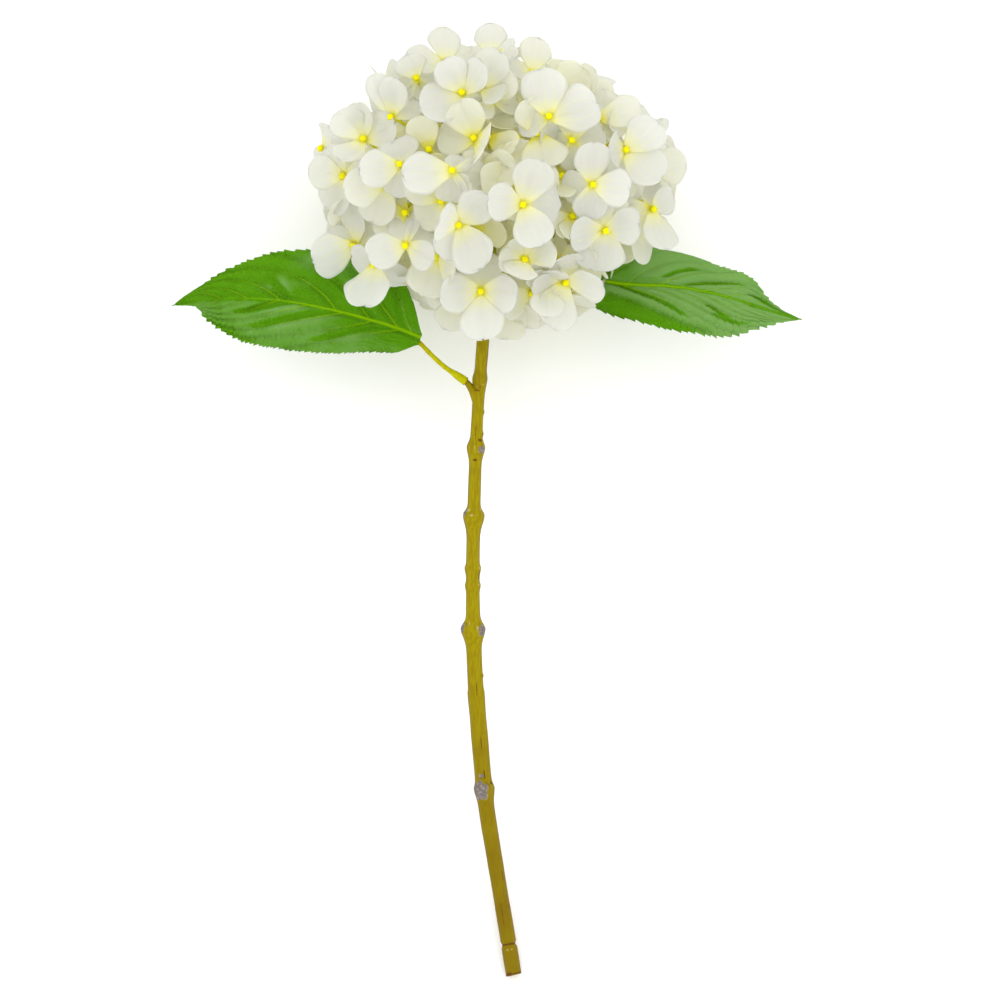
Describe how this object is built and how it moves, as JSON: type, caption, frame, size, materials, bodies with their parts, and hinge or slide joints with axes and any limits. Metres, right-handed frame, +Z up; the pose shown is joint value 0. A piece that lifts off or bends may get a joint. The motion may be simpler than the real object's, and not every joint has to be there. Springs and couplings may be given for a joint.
{
  "type": "cut hydrangea stem",
  "caption": "Cut hydrangea lying on its side: a rounded head of white four-lobed florets, a jointed stem and a pair of serrated leaves.",
  "frame": {"origin": "on the surface that the flower lies on, under the middle of its bounding box", "axes": "+Y along the stem, from the cut end towards the flower head; +Z up from the surface; +X to the right as seen from above"},
  "size_m": [0.3452, 0.5164, 0.1678],
  "materials": {
    "sepal": "thin woven fabric, matt, cream-white with a yellow middle",
    "sprig": "moulded, yellow at the bead and olive at the stalk",
    "stem": "moulded, semi-gloss olive-yellow with brown streaks and grey scars",
    "petiole": "moulded, semi-gloss olive-yellow",
    "leaf": "embossed woven fabric, satin, two-tone green with light veins"
  },
  "bodies": {
    "root": {"floret_01": "sepal", "floret_02": "sepal", "floret_03": "sepal", "floret_04": "sepal", "floret_05": "sepal", "floret_06": "sepal", "floret_07": "sepal", "floret_08": "sepal", "floret_09": "sepal", "floret_10": "sepal", "floret_11": "sepal", "floret_12": "sepal", "floret_13": "sepal", "floret_14": "sepal", "floret_15": "sepal", "floret_16": "sepal", "floret_17": "sepal", "floret_18": "sepal", "floret_19": "sepal", "floret_20": "sepal", "floret_21": "sepal", "floret_22": "sepal", "floret_23": "sepal", "floret_24": "sepal", "floret_25": "sepal", "floret_26": "sepal", "floret_27": "sepal", "floret_28": "sepal", "floret_29": "sepal", "floret_30": "sepal", "floret_31": "sepal", "floret_32": "sepal", "floret_33": "sepal", "floret_34": "sepal", "floret_35": "sepal", "floret_36": "sepal", "floret_37": "sepal", "floret_38": "sepal", "floret_39": "sepal", "floret_40": "sepal", "floret_41": "sepal", "floret_42": "sepal", "leaf_left": "leaf", "leaf_right": "leaf", "petiole_left": "petiole", "petiole_right": "petiole", "sprig_front": "sprig", "sprig_front_high": "sprig", "sprig_front_left": "sprig", "sprig_front_low": "sprig", "sprig_front_right": "sprig", "sprig_high": "sprig", "sprig_left": "sprig", "sprig_right": "sprig", "sprig_under_left": "sprig", "sprig_under_right": "sprig", "stem": "stem"}
  },
  "joints": []
}
